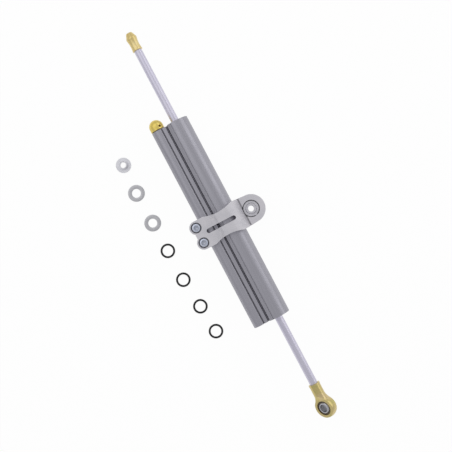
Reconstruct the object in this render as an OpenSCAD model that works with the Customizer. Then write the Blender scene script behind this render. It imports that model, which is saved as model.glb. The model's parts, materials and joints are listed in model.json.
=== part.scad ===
/* [Body] */
// Length of the extruded body
body_length = 216.5; // [190:0.5:260]
// How far the body's middle sits from the clamp, toward the end cap
body_shift = 2.2; // [0:0.1:10]
// Outside diameter of the main tube
main_d = 25; // [23:0.5:30]
// Bore of the main tube
main_bore = 17; // [16.5:0.1:18]
// Outside diameter of the adjuster tube
side_d = 14; // [13:0.5:17]
// Bore of the adjuster tube
side_bore = 9; // [8.6:0.1:10]
// Distance between the two bores
bore_spacing = 19.2; // [17.5:0.1:23]
// Height of the web between the two tubes
web_height = 12; // [9:0.5:13]
// Width of the thin groove beside the adjuster tube
thin_groove_width = 1.3; // [0.6:0.1:1.4]
// Depth of the thin groove
thin_groove_depth = 1.8; // [0.8:0.1:1.9]
// Distance of the thin groove from the rod axis
thin_groove_at = 15.5; // [15:0.1:16.2]
// Width of the wide groove beside the main tube
wide_groove_width = 1.9; // [1:0.1:2]
// Depth of the wide groove below the web's flat
wide_groove_depth = 2.5; // [1:0.1:2.8]
// Distance of the wide groove from the rod axis
wide_groove_at = 10.15; // [10:0.05:11.5]
// Width of the fine line along the main tube
line_groove_width = 0.6; // [0.3:0.1:0.8]
// Depth of the fine line
line_groove_depth = 0.6; // [0.2:0.1:0.8]
// Distance of the fine line from the rod axis
line_groove_at = 5.4; // [4:0.1:7]
// Chamfer at the mouths of the bores
mouth_chamfer = 0.5; // [0.2:0.1:0.8]
// Diameter of the two oil ports between the bores
port_d = 2.5; // [1.5:0.1:4]
// Distance of each oil port from the bumper face
port_inset = 3.2; // [2:0.1:6]

/* [Rod and piston] */
// Diameter of the piston rod
rod_d = 8; // [7:0.1:9]
// Rod showing at each end of the body at mid stroke
rod_showing = 77.9; // [66:0.1:100]
// Where the rod rests along its stroke, from mid stroke
rest_shift = -2; // [-20:0.5:20]
// Full stroke of the rod
stroke = 120; // [80:1:124]
// Room left between the piston's clips and a bumper at full stroke
stop_gap = 0.5; // [0.3:0.1:1]
// Length of the piston
piston_length = 14; // [11:0.5:18]
// Gap between the piston and the bore
piston_gap = 0.3; // [0.2:0.05:0.5]
// Width of the piston band
band_width = 6; // [4:0.1:7]
// Thickness of the piston band
band_thickness = 0.75; // [0.5:0.05:1]
// Diameter of the threaded stud at each rod end
stud_d = 6; // [5:0.1:6.5]
// Length of each threaded stud
stud_length = 12; // [8:0.5:13]
// Depth of the clip grooves in the rod
rod_groove_depth = 0.5; // [0.3:0.05:0.7]
// Thickness of the piston clips
piston_clip_thickness = 0.8; // [0.6:0.1:1.2]
// Width of the piston clips across the ring
piston_clip_width = 1.7; // [1.2:0.1:2.2]

/* [Glands] */
// Depth of the gland clips inside the body ends
clip_recess = 2.2; // [1.5:0.1:4]
// Thickness of the gland clips
clip_thickness = 1; // [0.8:0.1:1.4]
// Width of the gland clips across the ring
clip_width = 1.6; // [1.2:0.1:2]
// Depth of the clip groove in the bore
clip_bite = 0.6; // [0.4:0.05:0.8]
// Radius of the eyes on the gland clips
clip_eye_r = 1.2; // [1:0.05:1.4]
// Diameter of the plier holes in the clips
clip_hole_d = 1.1; // [0.8:0.1:1.4]
// Half of the angle between the gland clip's eyes
clip_half_gap = 20; // [14:1:30]
// Length of the rubber bumper behind each gland
bumper_length = 6; // [4:0.5:8]
// Gap of the bumper round the rod
bumper_gap = 0.5; // [0.3:0.1:1]
// Diameter of the wiper's pocket
wiper_d = 13; // [11.5:0.1:14]
// Length of the wiper's pocket
wiper_length = 3.5; // [2.5:0.1:5]
// How far the wiper's lip stands out
wiper_lip = 1.2; // [0.8:0.1:1.8]
// Diameter of the rod seal's groove
seal_d = 13.6; // [12:0.1:14.2]
// Length of the rod seal's groove
seal_length = 4; // [3:0.1:5]
// Wall between the pockets in a gland
pocket_wall = 2.2; // [1.5:0.1:3]
// Outside diameter of the guide bush
guide_d = 10; // [9.6:0.1:11.5]
// Length of the guide bush
guide_length = 14; // [8:0.5:15]
// Thickness of the gland's and piston's sealing rings
ring_section = 1.8; // [1.4:0.1:2]

/* [Adjuster] */
// Diameter of the adjuster knob
knob_d = 14.1; // [12.5:0.1:16]
// Height of the adjuster knob
knob_height = 10.6; // [9.8:0.1:14]
// Gap between the knob and the body
knob_gap = 0.8; // [0.6:0.05:1.2]
// Diameter of the adjuster spindle
spindle_d = 4; // [3.6:0.1:4.2]
// Depth of the spindle inside the knob
spindle_in_knob = 7.4; // [6:0.1:7.8]
// Diameter of the knob's grub screw
grub_d = 2.5; // [2:0.1:3]
// Size of the grub screw's hexagon socket across its corners
grub_socket_d = 1.4; // [1:0.1:1.6]
// Length of the knob's grub screw
grub_length = 3.4; // [2.5:0.1:4]
// Height of the grub screw above the knob's base
grub_height = 2.5; // [2:0.1:3.4]
// Turn of the grub screw from straight up, toward the main tube
grub_turn = 32; // [0:1:60]
// Length of the bush's narrow part
bush_neck = 11; // [10:0.5:14]
// Length of the bush's skirt round the needle
bush_skirt = 15; // [13:0.5:18]
// Bore of the bush's skirt
skirt_bore = 6.6; // [6.2:0.1:7]
// Diameter of the collar on the spindle
collar_d = 6; // [5.2:0.1:6]
// Length of the collar on the spindle
collar_length = 2; // [1.5:0.1:3]
// Diameter of the spindle's thread in the needle
needle_thread_d = 3; // [2.5:0.1:3.2]
// Length of the spindle's thread
needle_thread_length = 7.5; // [6:0.1:8]
// Diameter of the needle's shaft
needle_d = 3; // [2.4:0.1:3.4]
// Length of the needle's carriage
carriage_length = 10; // [9:0.5:11]
// Gap between the spindle's collar and the carriage
carriage_gap = 2; // [1.2:0.1:3]
// Length of the needle's cone
cone_length = 4; // [3:0.1:5]
// Diameter of the needle's tip
needle_tip_d = 1; // [0.6:0.1:1.4]
// Bore of the valve seat
seat_bore = 2.4; // [2.2:0.1:2.8]
// Length of the valve seat
seat_length = 6; // [4:0.5:8]
// Depth of the needle's cone in the seat
cone_depth = 1.5; // [1:0.1:1.8]
// Distance of the valve seat past the first oil port
seat_past_port = 4.5; // [3.5:0.1:8]
// Diameter of the key pin that keeps the needle from turning
key_d = 1.5; // [1.2:0.1:1.8]
// Wall of the needle between its thread and the key pin's slot
key_wall = 0.35; // [0.3:0.05:0.5]
// Diameter of the detent ball
detent_d = 1.4; // [1.2:0.05:1.5]
// Distance of the detent ball from the adjuster axis
detent_at = 3.3; // [3.2:0.05:3.45]
// Depth of the detent ball's middle below the bush's face
detent_inset = 0.15; // [0.1:0.05:0.3]
// Depth of the detent ball's hole
detent_depth = 6; // [4.5:0.1:6.5]
// Number of turns of the detent spring
spring_turns = 6; // [4:1:7]
// Thickness of the detent spring's wire
spring_wire = 0.23; // [0.15:0.01:0.25]
// Number of clicks in a turn
clicks = 16; // [8:1:20]
// Length of the plug at the other end of the bore
plug_length = 8; // [6.5:0.5:12]
// Depth of the plug below the body's end
plug_recess = 0.6; // [0.3:0.1:1.5]
// Size of the plug's hexagon socket across its corners
plug_socket_d = 4.6; // [3:0.1:5]
// Depth of the plug's hexagon socket
plug_socket_depth = 3.2; // [2:0.1:3.4]
// Distance of the plug's sealing ring from the plug's inner face
plug_ring_inset = 2; // [1.2:0.1:2.2]
// Thickness of the small sealing rings
small_section = 1.2; // [1:0.05:1.3]
// Thickness of the spindle's sealing ring
spindle_section = 0.9; // [0.7:0.05:1]

/* [Clamp] */
// Distance from the rod axis to the lug's bore
lug_reach = 26; // [24.5:0.1:32]
// Wall of the clamp round the body
clamp_wall = 6; // [4.5:0.1:8]
// Half width of the clamp at its ends
clamp_half_width = 15; // [14.8:0.1:18]
// Half width of the clamp at its waist
waist_half_width = 12; // [9:0.1:14]
// Radius of the waist's hollow
waist_r = 40; // [30:1:60]
// Distance of the waist from the rod axis, toward the screws
waist_at = 5; // [0:0.5:8]
// How far the flat top runs from the rod axis toward the screws
land_length = 8.5; // [6:0.1:9.5]
// Length of the slope between the flat top and the screw side
slope_length = 5.5; // [4:0.1:7]
// How much the flat top is cut below the round of the crown
land_cut = 0.4; // [0.2:0.1:1]
// Thickness of the lug
lug_thickness = 10; // [9.8:0.1:12]
// Radius of the lug's round end
lug_r = 14.2; // [11:0.1:16]
// Width of the relief groove where the lug meets the clamp's round
root_groove_width = 1.2; // [0.5:0.1:1.5]
// Depth of the relief groove
root_groove_depth = 1; // [0.3:0.1:1.2]
// Width of the slot across the clamp
slot_width = 4.3; // [2:0.1:6]
// Reach of the slot from the rod axis toward the screws
slot_left = 23; // [16:0.1:23.5]
// Reach of the slot from the rod axis toward the lug
slot_right = 8.6; // [4:0.1:10]
// Distance of the screws beyond the adjuster axis
screw_beyond = 11.4; // [10.8:0.1:14]
// Half of the distance between the screws
screw_half_spacing = 8.1; // [7:0.1:8.2]
// Radius of the ear round each screw
ear_r = 6.7; // [6.2:0.1:6.7]
// How far the edge between the ears lies beyond the screws
ear_valley = 3.9; // [2:0.1:5]
// Gap of the clamp's slit
slit_gap = 2.4; // [1:0.1:4]
// Diameter of the clamp screws
screw_d = 5; // [4:0.1:5]
// Length of the clamp screws below the head
screw_length = 18; // [14:0.5:20]
// Diameter of the screw heads
head_d = 8.5; // [7:0.1:9]
// Height of the screw heads
head_height = 5; // [4:0.1:6]
// Depth of the screw heads below the surface
head_recess = 0.3; // [0:0.1:1]
// Diameter of the counterbores
counterbore_d = 10.5; // [9.4:0.1:10.8]
// Size of the screws' hexagon socket across its corners
screw_socket_d = 4.6; // [3:0.1:5]
// Depth of the screws' hexagon socket
screw_socket_depth = 2.6; // [1.5:0.1:3]
// Size of the chamfer on the screw heads
head_chamfer = 0.4; // [0.2:0.1:0.8]

/* [Ball joints] */
// Diameter of the balls
ball_d = 13.2; // [12.8:0.1:13.4]
// Width of the balls
ball_width = 8.6; // [8.4:0.1:10]
// Bore of the ball in the lug, for its bolt
lug_ball_bore = 6; // [5:0.1:8.4]
// Bore of the ball in the rod end, for its bolt
eye_ball_bore = 8; // [5:0.1:8.4]
// Outside diameter of the race in the rod end
race_d = 15; // [14.8:0.1:16.4]
// Width of the race in the rod end
race_width = 6; // [5:0.1:6.4]
// Outside diameter of the race in the lug
lug_race_d = 17; // [16:0.1:18]
// Width of the race in the lug
lug_race_width = 7.4; // [6:0.1:7.4]
// Shoulder that carries the race in the lug
race_shoulder = 1.2; // [0.6:0.1:1.3]
// Thickness of the clip that holds the race in the lug
lug_clip_thickness = 0.6; // [0.5:0.1:0.8]
// Depth of the clip's groove in the lug
lug_clip_bite = 0.5; // [0.3:0.05:0.7]
// Width of the lug clip across the ring
lug_clip_width = 1.1; // [1:0.1:1.5]
// Half of the angle of the lug clip's gap
lug_clip_half_gap = 8; // [5:1:20]
// Turn of the lug clip's gap from the rod's direction
lug_clip_turn = 14; // [-180:1:180]

/* [Rod end] */
// Distance from the rod end's face to the middle of its eye
eye_reach = 25.6; // [24.5:0.1:36]
// Outside diameter of the eye
eye_d = 21.8; // [18.5:0.1:24]
// Thickness of the eye
eye_thickness = 7.9; // [7.4:0.1:8.5]
// Diameter of the rod end's shank
shank_d = 11.2; // [9.4:0.1:11.2]
// Diameter of the rim at the shank's face
rim_d = 11.6; // [11.2:0.1:13]
// Length of the rim at the shank's face
rim_length = 2; // [1:0.1:4]
// Radius of the flare from the shank to the eye
flare_r = 11; // [8:0.5:20]
// Radius of the hollow that thins the neck
neck_r = 12; // [8:0.5:16]
// Turn of the rod end about the rod
eye_turn = 43; // [-90:1:90]
// Spare depth of the threaded holes past the studs
thread_spare = 2; // [0.5:0.1:3]

/* [End cap] */
// Length of the end cap
cap_length = 19.1; // [17.5:0.1:26]
// Diameter of the cap's rim
cap_rim_d = 10.5; // [10:0.1:12]
// Diameter of the cap's waist
cap_waist_d = 9.2; // [8.6:0.1:10]
// Distance of the cap's waist from its rim
cap_waist_at = 6; // [4:0.1:7]
// Diameter of the cap's bulge
cap_bulge_d = 10.9; // [10.5:0.1:12.5]
// Distance of the cap's bulge from its rim
cap_bulge_at = 13.6; // [12:0.1:15]
// Diameter of the cap's tip
cap_tip_d = 6.2; // [4:0.1:8]
// Size of the cap's hexagon socket across its corners
cap_socket_d = 3.4; // [2.5:0.1:4]
// Depth of the cap's hexagon socket
cap_socket_depth = 2.5; // [1.5:0.1:3]

/* [Loose fittings] */
// Diameter of the loose sleeve's flange
sleeve_flange_d = 15.4; // [13:0.1:18]
// Thickness of the loose sleeve's flange
sleeve_flange_height = 2; // [1.2:0.1:3]
// Diameter of the loose sleeve's spigot
sleeve_spigot_d = 8.4; // [8:0.1:9]
// Height of the loose sleeve's spigot above its flange
sleeve_spigot_height = 5; // [3:0.1:8]
// Bore of the loose sleeve
sleeve_bore = 6.1; // [5.5:0.1:7]
// Chamfer round the end of the loose sleeve's spigot
sleeve_chamfer = 0.4; // [0.2:0.1:0.4]
// Outside diameter of the washers
washer_d = 17; // [14:0.1:20]
// Hole of the washers
washer_hole = 9; // [8.8:0.1:10]
// Thickness of the washers
washer_thickness = 1.6; // [1:0.1:3]
// Inside diameter of the loose O-rings
loose_ring_inner_d = 10.6; // [9:0.1:12]
// Thickness of the loose O-rings
loose_ring_section = 2.1; // [1.6:0.1:2.6]

/* [Fits] */
// Gap between pieces that are pressed or screwed together
press_gap = 0.03; // [0.02:0.01:0.05]
// Gap between the rod and its guide, seal and wiper
run_gap = 0.04; // [0.02:0.01:0.08]
// Gap between the piston band and the bore
band_gap = 0.05; // [0.02:0.01:0.09]
// Gap between the clamp and the body
clamp_gap = 0.1; // [0.05:0.01:0.3]
// Gap between a ball and its race
ball_gap = 0.05; // [0.03:0.01:0.08]
// Gap round the spindle and the needle
needle_gap = 0.1; // [0.05:0.01:0.15]
// Gap at each side of a clip, ring or collar in its groove
side_gap = 0.1; // [0.05:0.01:0.2]

/* [Hidden] */
$fn = 96;

// Anodised, plated and rubber colours
body_colour = "#97969e";
clamp_colour = "#b4b3b9";
chrome_colour = "#c6c4d3";
gold_colour = "#cfbb7c";
passivated_colour = "#bcab74";
zinc_colour = "#a0a5b4";
steel_colour = "#b2b2b6";
dark_steel_colour = "#4a4a4e";
bronze_colour = "#a88a52";
rubber_colour = "#262626";
band_colour = "#6b5a3c";

// The origin is the middle of the lug's ball, with X along the rod
rod_y = -lug_reach;
side_y = rod_y - bore_spacing;
body_start = -body_shift - body_length / 2;
body_end = -body_shift + body_length / 2;
rod_start = body_start - rod_showing + rest_shift;
rod_finish = body_end + rod_showing + rest_shift;
piston_middle = -body_shift + rest_shift;
eye_x = rod_finish + eye_reach;

// End stacks inside the main bore, measured inward from a body end
piston_reach = piston_length + 2 * (side_gap + piston_clip_thickness);
free_length = stroke + piston_reach + 2 * stop_gap;
bumper_face = (body_length - free_length) / 2;
gland_start = clip_recess + clip_thickness;
gland_length = bumper_face - bumper_length - gland_start;
gland_d = main_bore - 2 * press_gap;
ring_groove_width = ring_section + 4 * side_gap;
gland_ring_at = gland_start + gland_length / 2;
gland_ring_r = main_bore / 2 - press_gap - ring_section / 2;
seal_at = gland_start + wiper_length + pocket_wall;
guide_at = gland_start + gland_length - guide_length;
run_d = rod_d + 2 * run_gap;
clip_outer_r = main_bore / 2 + clip_bite - side_gap;
clip_inner_r = clip_outer_r - clip_width;

// Piston groove, filled from its floor by the ring and then the band
piston_d = main_bore - 2 * piston_gap;
band_outer_r = main_bore / 2 - band_gap;
band_inner_r = band_outer_r - band_thickness;
piston_ring_r = band_inner_r - press_gap - ring_section / 2;
piston_floor_r = piston_ring_r - ring_section / 2 - press_gap;
piston_clip_inner_r = rod_d / 2 - rod_groove_depth + press_gap;

// Adjuster stack, measured inward from the cap side's body end
bush_length = bush_neck + bush_skirt;
bush_d = side_bore - 2 * press_gap;
collar_at = bush_neck + side_gap;
thread_at = collar_at + collar_length;
carriage_at = thread_at + carriage_gap;
carriage_d = skirt_bore - 2 * needle_gap;
port_at = bumper_face + port_inset;
seat_at = port_at + seat_past_port;
needle_tip = seat_at + cone_depth;
bush_ring_at = bush_neck - small_section - 4 * side_gap;
small_groove_width = small_section + 4 * side_gap;
small_ring_r = side_bore / 2 - press_gap - small_section / 2;
small_floor_r = small_ring_r - small_section / 2 - press_gap;
spindle_bore = spindle_d + 2 * press_gap;
spindle_ring_at = detent_depth / 2;
spindle_ring_r = spindle_d / 2 - spindle_section / 2;
spindle_floor_r = spindle_ring_r - spindle_section / 2 - press_gap;
spindle_groove_width = spindle_section + 2 * side_gap;
key_at = bush_length - 2 * key_d;
key_floor_r = needle_thread_d / 2 + needle_gap + key_wall;
plug_ring_at = plug_recess + plug_length - plug_ring_inset;
grub_seat_r = spindle_d / 2 + press_gap;

// Clamp heights and the screws' places
crown_r = main_d / 2 + clamp_wall;
plateau = side_d / 2 + clamp_wall;
screw_y = side_y - screw_beyond;
head_seat = plateau - head_recess - head_height;
lug_clip_at = lug_race_width / 2 + side_gap;
lug_clip_outer_r = lug_race_d / 2 + lug_clip_bite - side_gap;
lug_clip_inner_r = lug_clip_outer_r - lug_clip_width;
root_at = sqrt(pow(crown_r, 2) - pow(lug_thickness / 2, 2));
land = crown_r - land_cut;
floor_z = -land;

// Places of the loose fittings on the floor, in a row beside the body
sleeve_place = [-98.6, -92.7];
washer_places = [[-67.6, -94.4], [-33.4, -93.9]];
ring_places = [[-1.5, -93.5], [31.5, -93.3], [63.2, -90.6], [92.7, -88.4]];

// A margin for cuts that run out of a solid
over = 1;

// Placing and turning shapes along X
module along_x(start, length, d) {
    translate([start, 0, 0]) rotate([0, 90, 0]) cylinder(h = length, d = d);
}
module tube_x(start, length, outer_d, inner_d) {
    difference() {
        along_x(start, length, outer_d);
        along_x(start - over, length + 2 * over, inner_d);
    }
}
module cone_x(start, length, first_d, last_d) {
    translate([start, 0, 0]) rotate([0, 90, 0]) cylinder(h = length, d1 = first_d, d2 = last_d);
}
module turned_x(start) {
    translate([start, 0, 0]) rotate([0, 90, 0]) rotate_extrude() children();
}
module section_x(start, length) {
    translate([start, 0, 0]) rotate([90, 0, 90]) linear_extrude(height = length) children();
}
module o_ring_x(at, mean_r, section) {
    turned_x(at) translate([mean_r, 0]) circle(d = section);
}
module hexagon_x(start, length, corner_d) {
    translate([start, 0, 0]) rotate([0, 90, 0]) cylinder(h = length, d = corner_d, $fn = 6);
}

// Frames: X runs inward from a body end, or outward from the knob's base
module at_cap_end() translate([body_start, rod_y, 0]) children();
module at_eye_end() translate([body_end, rod_y, 0]) mirror([1, 0, 0]) children();
module at_both_ends() {
    at_cap_end() children();
    at_eye_end() children();
}
module at_adjuster() translate([body_start, side_y, 0]) children();
module at_plug() translate([body_end, side_y, 0]) mirror([1, 0, 0]) children();
module at_knob() translate([body_start - knob_gap, side_y, 0]) mirror([1, 0, 0]) children();
module at_rod() translate([0, rod_y, 0]) children();
module at_eye() translate([eye_x, rod_y, 0]) rotate([eye_turn, 0, 0]) children();

// A ring with a gap and, if it has eyes, a plier hole on each side of the gap
module clip_outline(inner_r, outer_r, half_gap, eye_r, eye_at) {
    reach = 2 * outer_r;
    difference() {
        union() {
            difference() {
                circle(r = outer_r);
                circle(r = inner_r);
                polygon([
                    [0, 0],
                    [reach * cos(half_gap), reach * sin(half_gap)],
                    [2 * reach, 0],
                    [reach * cos(half_gap), -reach * sin(half_gap)]
                ]);
            }
            if (eye_r > 0) at_clip_eyes(half_gap, eye_at) circle(r = eye_r);
        }
        if (eye_r > 0) at_clip_eyes(half_gap, eye_at) circle(d = clip_hole_d);
    }
}
module at_clip_eyes(half_gap, eye_at) {
    for (side = [-1, 1]) rotate(side * half_gap) translate([eye_at, 0]) children();
}

// Body: main tube, adjuster tube and web, drawn across the rod
module body_outline(extra) {
    circle(d = main_d + 2 * extra);
    translate([-bore_spacing, 0]) circle(d = side_d + 2 * extra);
    translate([-bore_spacing, -web_height / 2 - extra]) square([bore_spacing, web_height + 2 * extra]);
}
module groove(at, width, floor_height) {
    for (side = [0, 1])
        mirror([0, side]) translate([-at - width / 2, floor_height]) square([width, main_d]);
}
module bore_mouth(bore) {
    cone_x(-over, over + mouth_chamfer, bore + 2 * (mouth_chamfer + over), bore);
}
module body_extrusion() {
    web_top = web_height / 2;
    line_top = sqrt(pow(main_d / 2, 2) - pow(line_groove_at, 2));
    color(body_colour) difference() {
        at_rod() section_x(body_start, body_length) difference() {
            body_outline(0);
            groove(thin_groove_at, thin_groove_width, web_top - thin_groove_depth);
            groove(wide_groove_at, wide_groove_width, web_top - wide_groove_depth);
            groove(line_groove_at, line_groove_width, line_top - line_groove_depth);
        }
        at_rod() along_x(body_start - over, body_length + 2 * over, main_bore);
        translate([0, side_y, 0]) along_x(body_start - over, body_length + 2 * over, side_bore);
        at_both_ends() {
            bore_mouth(main_bore);
            along_x(clip_recess - side_gap, clip_thickness + 2 * side_gap, main_bore + 2 * clip_bite);
            translate([port_at, 0, 0]) rotate([90, 0, 0]) cylinder(h = bore_spacing, d = port_d);
        }
        at_adjuster() bore_mouth(side_bore);
        at_plug() bore_mouth(side_bore);
    }
}

// Glands and what they carry
module gland() {
    difference() {
        along_x(gland_start, gland_length, gland_d);
        along_x(gland_start - over, gland_length + 2 * over, rod_d + 4 * run_gap);
        along_x(gland_start - over, over + wiper_length, wiper_d);
        along_x(seal_at, seal_length, seal_d);
        along_x(guide_at, guide_length + over, guide_d);
        tube_x(gland_ring_at - ring_groove_width / 2, ring_groove_width, main_bore + over,
            2 * (gland_ring_r - press_gap) - ring_section);
    }
}
module cap_side_gland() color(body_colour) at_cap_end() gland();
module eye_side_gland() color(body_colour) at_eye_end() gland();
module gland_o_rings() {
    color(rubber_colour) at_both_ends() o_ring_x(gland_ring_at, gland_ring_r, ring_section);
}
module rod_seals() {
    lip_cut = seal_length / 2;
    lip_middle = (run_d + seal_d) / 4;
    lip_spread = lip_cut / 3;
    color(rubber_colour) at_both_ends() difference() {
        tube_x(seal_at + side_gap, seal_length - 2 * side_gap, seal_d - 2 * press_gap, run_d);
        turned_x(seal_at + seal_length) polygon([
            [lip_middle - lip_spread, over],
            [lip_middle, -lip_cut],
            [lip_middle + lip_spread, over]
        ]);
    }
}
module rod_wipers() {
    color(rubber_colour) at_both_ends() turned_x(gland_start) polygon([
        [run_d / 2, wiper_length - side_gap],
        [run_d / 2, -wiper_lip],
        [run_d / 2 + wiper_lip / 2, -wiper_lip],
        [run_d / 2 + wiper_lip, 0],
        [wiper_d / 2 - press_gap, 0],
        [wiper_d / 2 - press_gap, wiper_length - side_gap]
    ]);
}
module guide_bushes() {
    color(bronze_colour) at_both_ends()
        tube_x(guide_at, guide_length, guide_d - 2 * press_gap, run_d);
}
module gland_circlips() {
    color(steel_colour) at_both_ends() section_x(clip_recess, clip_thickness)
        rotate(90) clip_outline(clip_inner_r, clip_outer_r, clip_half_gap, clip_eye_r, clip_inner_r);
}
module end_bumpers() {
    bumper_d = main_bore - 2 * piston_gap;
    color(rubber_colour) at_both_ends()
        tube_x(gland_start + gland_length, bumper_length, bumper_d, rod_d + 2 * bumper_gap);
}

// Adjuster: bush, spindle, needle valve and detent in the adjuster tube
module detent_hole_axis() rotate([180, 0, 0]) translate([0, 0, detent_at]) children();
module small_ring_groove(at) {
    start = at - small_groove_width / 2;
    tube_x(start, small_groove_width, side_bore + over, 2 * small_floor_r);
}
module adjuster_bush() {
    color(bronze_colour) at_adjuster() difference() {
        along_x(0, bush_length, bush_d);
        along_x(-over, bush_neck + 2 * over, spindle_bore);
        along_x(bush_neck, bush_skirt + over, skirt_bore);
        detent_hole_axis() along_x(-over, over + detent_depth, detent_d + 2 * press_gap);
        small_ring_groove(bush_ring_at);
        translate([key_at, 0, 0]) cylinder(h = side_bore, d = key_d + 2 * press_gap);
    }
}
module bush_o_ring() color(rubber_colour) at_adjuster() o_ring_x(bush_ring_at, small_ring_r, small_section);
module needle_key() {
    color(steel_colour) at_adjuster() translate([key_at, 0, key_floor_r + needle_gap])
        cylinder(h = bush_d / 2 - key_floor_r - 3 * needle_gap, d = key_d);
}
module valve_seat() {
    color(bronze_colour) at_adjuster() tube_x(seat_at, seat_length, side_bore - 2 * press_gap, seat_bore);
}
module side_bore_plug() {
    color(steel_colour) at_plug() difference() {
        along_x(plug_recess, plug_length, side_bore - 2 * press_gap);
        hexagon_x(plug_recess - over, over + plug_socket_depth, plug_socket_d);
        small_ring_groove(plug_ring_at);
    }
}
module plug_o_ring() {
    color(rubber_colour) at_plug() o_ring_x(plug_ring_at, small_ring_r, small_section);
}
module detent_ball() {
    color(steel_colour) at_adjuster() detent_hole_axis()
        translate([detent_inset, 0, 0]) sphere(d = detent_d);
}

// Points of a ring round a coil's wire at one angle, and the closed tube through all the rings
function coil_ring(angle, coil_r, wire_r, pitch, sides) = [
    for (side = [0 : sides - 1])
        let (turn = 360 * side / sides, reach = coil_r + wire_r * cos(turn))
        [pitch * angle / 360 + wire_r * sin(turn), reach * cos(angle), reach * sin(angle)]
];
module coil_x(start, length, coil_r, wire_r, turns) {
    sides = 6;
    rings_a_turn = 12;
    rings = rings_a_turn * turns;
    pitch = (length - 2 * wire_r) / turns;
    points = [
        for (ring = [0 : rings])
            each coil_ring(360 * ring / rings_a_turn, coil_r, wire_r, pitch, sides)
    ];
    walls = [
        for (ring = [0 : rings - 1], side = [0 : sides - 1])
            let (a = ring * sides + side, b = ring * sides + (side + 1) % sides)
            each [[a, b, b + sides], [a, b + sides, a + sides]]
    ];
    first_end = [for (side = [1 : sides - 2]) [0, side + 1, side]];
    last = rings * sides;
    last_end = [for (side = [1 : sides - 2]) [last, last + side, last + side + 1]];
    translate([start + wire_r, 0, 0]) polyhedron(points, concat(walls, first_end, last_end));
}
module detent_spring() {
    wire_r = spring_wire / 2;
    coil_r = detent_d / 2 - spring_wire;
    spring_at = detent_inset + detent_d / 2 + side_gap;
    spring_length = detent_depth - spring_at - side_gap;
    color(steel_colour) at_adjuster() detent_hole_axis()
        coil_x(spring_at, spring_length, coil_r, wire_r, spring_turns);
}
module adjuster_knob() {
    knob_r = knob_d / 2;
    shoulder = knob_height - knob_r;
    dimple_r = detent_d / 2 + press_gap;
    color(gold_colour) difference() {
        at_knob() turned_x(0) intersection() {
            union() {
                square([knob_r, shoulder]);
                translate([0, shoulder]) circle(r = knob_r);
            }
            square([knob_r, knob_height]);
        }
        at_knob() along_x(-over, over + spindle_in_knob + side_gap, spindle_bore);
        at_knob() for (click = [0 : clicks - 1]) rotate([360 * click / clicks, 0, 0])
            translate([-dimple_r / 2, 0, detent_at]) sphere(r = dimple_r);
        at_knob() rotate([-grub_turn, 0, 0]) translate([grub_height, 0, 0])
            cylinder(h = knob_d, d = grub_d + 2 * press_gap);
    }
}
module adjuster_spindle() {
    color(steel_colour) at_adjuster() difference() {
        union() {
            along_x(-knob_gap - spindle_in_knob, knob_gap + spindle_in_knob + thread_at, spindle_d);
            along_x(collar_at, collar_length, collar_d);
            along_x(thread_at, needle_thread_length, needle_thread_d);
        }
        tube_x(spindle_ring_at - spindle_groove_width / 2, spindle_groove_width, spindle_d + over,
            2 * spindle_floor_r);
    }
}
module knob_grub_screw() {
    socket_depth = grub_length / 2;
    color(dark_steel_colour) at_knob() rotate([-grub_turn, 0, 0]) translate([grub_height, 0, grub_seat_r])
        difference() {
            cylinder(h = grub_length, d = grub_d);
            translate([0, 0, grub_length - socket_depth])
                cylinder(h = grub_length, d = grub_socket_d, $fn = 6);
        }
}
module spindle_o_ring() {
    color(rubber_colour) at_adjuster() o_ring_x(spindle_ring_at, spindle_ring_r, spindle_section);
}
module needle() {
    shaft_at = carriage_at + carriage_length;
    cone_at = needle_tip - cone_length;
    color(steel_colour) at_adjuster() difference() {
        union() {
            along_x(carriage_at, carriage_length, carriage_d);
            along_x(shaft_at, cone_at - shaft_at, needle_d);
            cone_x(cone_at, cone_length, needle_d, needle_tip_d);
        }
        along_x(carriage_at - over, over + needle_thread_length, needle_thread_d + 2 * needle_gap);
        translate([carriage_at - over, -key_d / 2 - needle_gap, key_floor_r])
            cube([carriage_length + 2 * over, key_d + 2 * needle_gap, carriage_d]);
    }
}

// Clamp: its side form and its outline from above, both measured from the rod axis
module clamp_sides(wide) {
    ears = screw_beyond + ear_r + bore_spacing + over;
    rise = (land - plateau) / slope_length;
    top = [
        [-ears, plateau],
        [-land_length - slope_length, plateau],
        [-land_length + over, land + over * rise],
        [0, land + over * rise]
    ];
    along_x(-wide, 2 * wide, 2 * crown_r);
    bottom = [for (step = [len(top) - 1 : -1 : 0]) [top[step][0], -top[step][1]]];
    section_x(-wide, 2 * wide) polygon(concat(top, bottom));
    translate([-wide, 0, -lug_thickness / 2])
        cube([2 * wide, lug_reach + lug_r + over, lug_thickness]);
}
module clamp_plan() {
    screw_at = bore_spacing + screw_beyond;
    shoulder = crown_r - clamp_wall / 2;
    difference() {
        union() {
            translate([0, lug_reach]) circle(r = lug_r);
            for (side = [-1, 1]) translate([side * screw_half_spacing, -screw_at]) circle(r = ear_r);
            polygon([
                [-lug_r, lug_reach],
                [-clamp_half_width, shoulder],
                [-clamp_half_width, -waist_at],
                [-screw_half_spacing - ear_r, -screw_at],
                [-screw_half_spacing, -screw_at - ear_valley],
                [screw_half_spacing, -screw_at - ear_valley],
                [screw_half_spacing + ear_r, -screw_at],
                [clamp_half_width, -waist_at],
                [clamp_half_width, shoulder],
                [lug_r, lug_reach]
            ]);
        }
        for (side = [-1, 1])
            translate([side * (waist_half_width + waist_r), -waist_at]) circle(r = waist_r);
    }
}
module slot_plan() {
    first = -slot_left + slot_width / 2;
    last = slot_right - slot_width / 2;
    for (end = [first, last]) translate([0, end]) circle(d = slot_width);
    translate([-slot_width / 2, first]) square([slot_width, last - first]);
}
module at_screws() {
    for (side = [-1, 1]) translate([side * screw_half_spacing, screw_y, 0]) children();
}
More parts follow.
